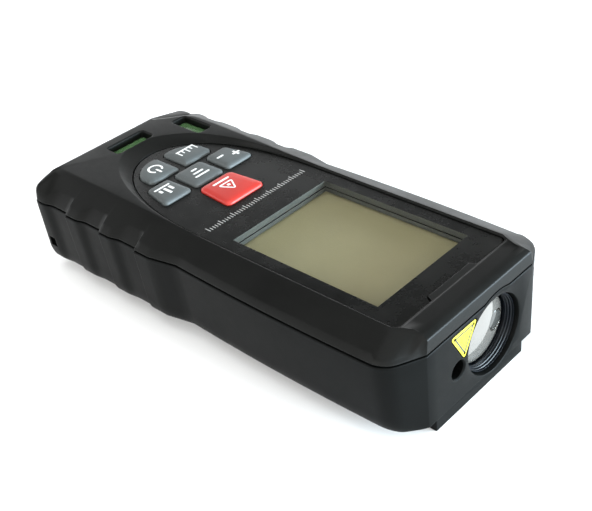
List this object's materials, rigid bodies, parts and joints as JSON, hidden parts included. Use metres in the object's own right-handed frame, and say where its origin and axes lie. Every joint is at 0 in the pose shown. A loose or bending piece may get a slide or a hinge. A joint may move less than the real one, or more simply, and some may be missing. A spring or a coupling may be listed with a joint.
{
  "type": "laser distance meter",
  "caption": "Hand-held laser distance meter with a large display window, keypad, two spirit levels, lens and laser aperture in the nose.",
  "frame": {"origin": "on the supporting plane, under the middle of the meter's box", "axes": "+X to the user's right, +Y out of the laser end, +Z out of the display"},
  "size_m": [0.0562, 0.118, 0.0273],
  "materials": {
    "black_plastic": "matt, fine-grained",
    "panel_black": "satin printed sheet",
    "clear_plastic": "clear",
    "display_olive": "olive reflective display",
    "white_plastic": "matt",
    "dark_plastic": "matt",
    "key_grey": "soft matt",
    "key_red": "soft matt",
    "lens_glass": "clear, polished",
    "barrel_dark": "dark satin",
    "aluminium": "cast",
    "steel": "plain",
    "brass": "turned",
    "board_green": "solder mask",
    "chip_black": "moulded",
    "cell_wrap": "plain sleeve",
    "vial_green": "tinted fluid",
    "label_yellow": "coated sticker",
    "rubber": "conductive strip"
  },
  "bodies": {
    "meter": {"battery_left": "cell_wrap", "battery_right": "cell_wrap", "buzzer": "chip_black", "contact_spring_left": "steel", "contact_spring_right": "steel", "cross_vial_fluid": "vial_green", "cross_vial_plug": "dark_plastic", "cross_vial_tube": "clear_plastic", "detector_board": "board_green", "display_panel": "panel_black", "display_window": "clear_plastic", "dome_clear": "steel", "dome_function": "steel", "dome_measure": "steel", "dome_memory": "steel", "dome_plus_minus": "steel", "dome_unit": "steel", "front_contact": "steel", "front_housing": "black_plastic", "housing_screw_1": "steel", "housing_screw_2": "steel", "housing_screw_3": "steel", "housing_screw_4": "steel", "laser_module": "brass", "laser_window": "barrel_dark", "lcd_contact_strip": "rubber", "lcd_glass": "display_olive", "lcd_light_guide": "white_plastic", "lcd_tray": "white_plastic", "lens_barrel": "barrel_dark", "lens_ring": "barrel_dark", "light_detector": "steel", "long_vial_fluid": "vial_green", "long_vial_plug": "dark_plastic", "long_vial_tube": "clear_plastic", "main_board": "board_green", "near_field_lens": "lens_glass", "nose_label": "label_yellow", "optics_block": "aluminium", "processor_chip": "chip_black", "rear_contact_left": "steel", "rear_contact_right": "steel", "rear_housing": "black_plastic", "receive_lens": "lens_glass"},
    "key_measure": {"key_measure": "key_red"},
    "key_plus_minus": {"key_plus_minus": "key_grey"},
    "key_function": {"key_function": "key_grey"},
    "key_memory": {"key_memory": "key_grey"},
    "key_unit": {"key_unit": "key_grey"},
    "key_clear": {"key_clear": "key_grey"},
    "battery_cover": {"battery_cover": "black_plastic"},
    "cross_vial_bubble": {"cross_vial_bubble": "clear_plastic"},
    "long_vial_bubble": {"long_vial_bubble": "clear_plastic"}
  },
  "joints": [
    {"name": "key_measure_press", "type": "slide", "parent": "meter", "child": "key_measure", "axis": [0, 0, -1], "range_m": [0, 0.0006], "stiffness_N_per_m": 2500},
    {"name": "key_plus_minus_press", "type": "slide", "parent": "meter", "child": "key_plus_minus", "axis": [0, 0, -1], "range_m": [0, 0.0006], "stiffness_N_per_m": 2500},
    {"name": "key_function_press", "type": "slide", "parent": "meter", "child": "key_function", "axis": [0, 0, -1], "range_m": [0, 0.0006], "stiffness_N_per_m": 2500},
    {"name": "key_memory_press", "type": "slide", "parent": "meter", "child": "key_memory", "axis": [0, 0, -1], "range_m": [0, 0.0006], "stiffness_N_per_m": 2500},
    {"name": "key_unit_press", "type": "slide", "parent": "meter", "child": "key_unit", "axis": [0, 0, -1], "range_m": [0, 0.0006], "stiffness_N_per_m": 2500},
    {"name": "key_clear_press", "type": "slide", "parent": "meter", "child": "key_clear", "axis": [0, 0, -1], "range_m": [0, 0.0006], "stiffness_N_per_m": 2500},
    {"name": "battery_cover_hinge", "type": "hinge", "parent": "meter", "child": "battery_cover", "pos_m": [0, -0.0034, 0.0003], "axis": [1, 0, 0], "range_deg": [0, 80]},
    {"name": "cross_bubble_drift", "type": "slide", "parent": "meter", "child": "cross_vial_bubble", "axis": [1, 0, 0], "range_m": [-0.00125, 0.00125]},
    {"name": "long_bubble_drift", "type": "slide", "parent": "meter", "child": "long_vial_bubble", "axis": [0, 1, 0], "range_m": [-0.00125, 0.00125]}
  ]
}
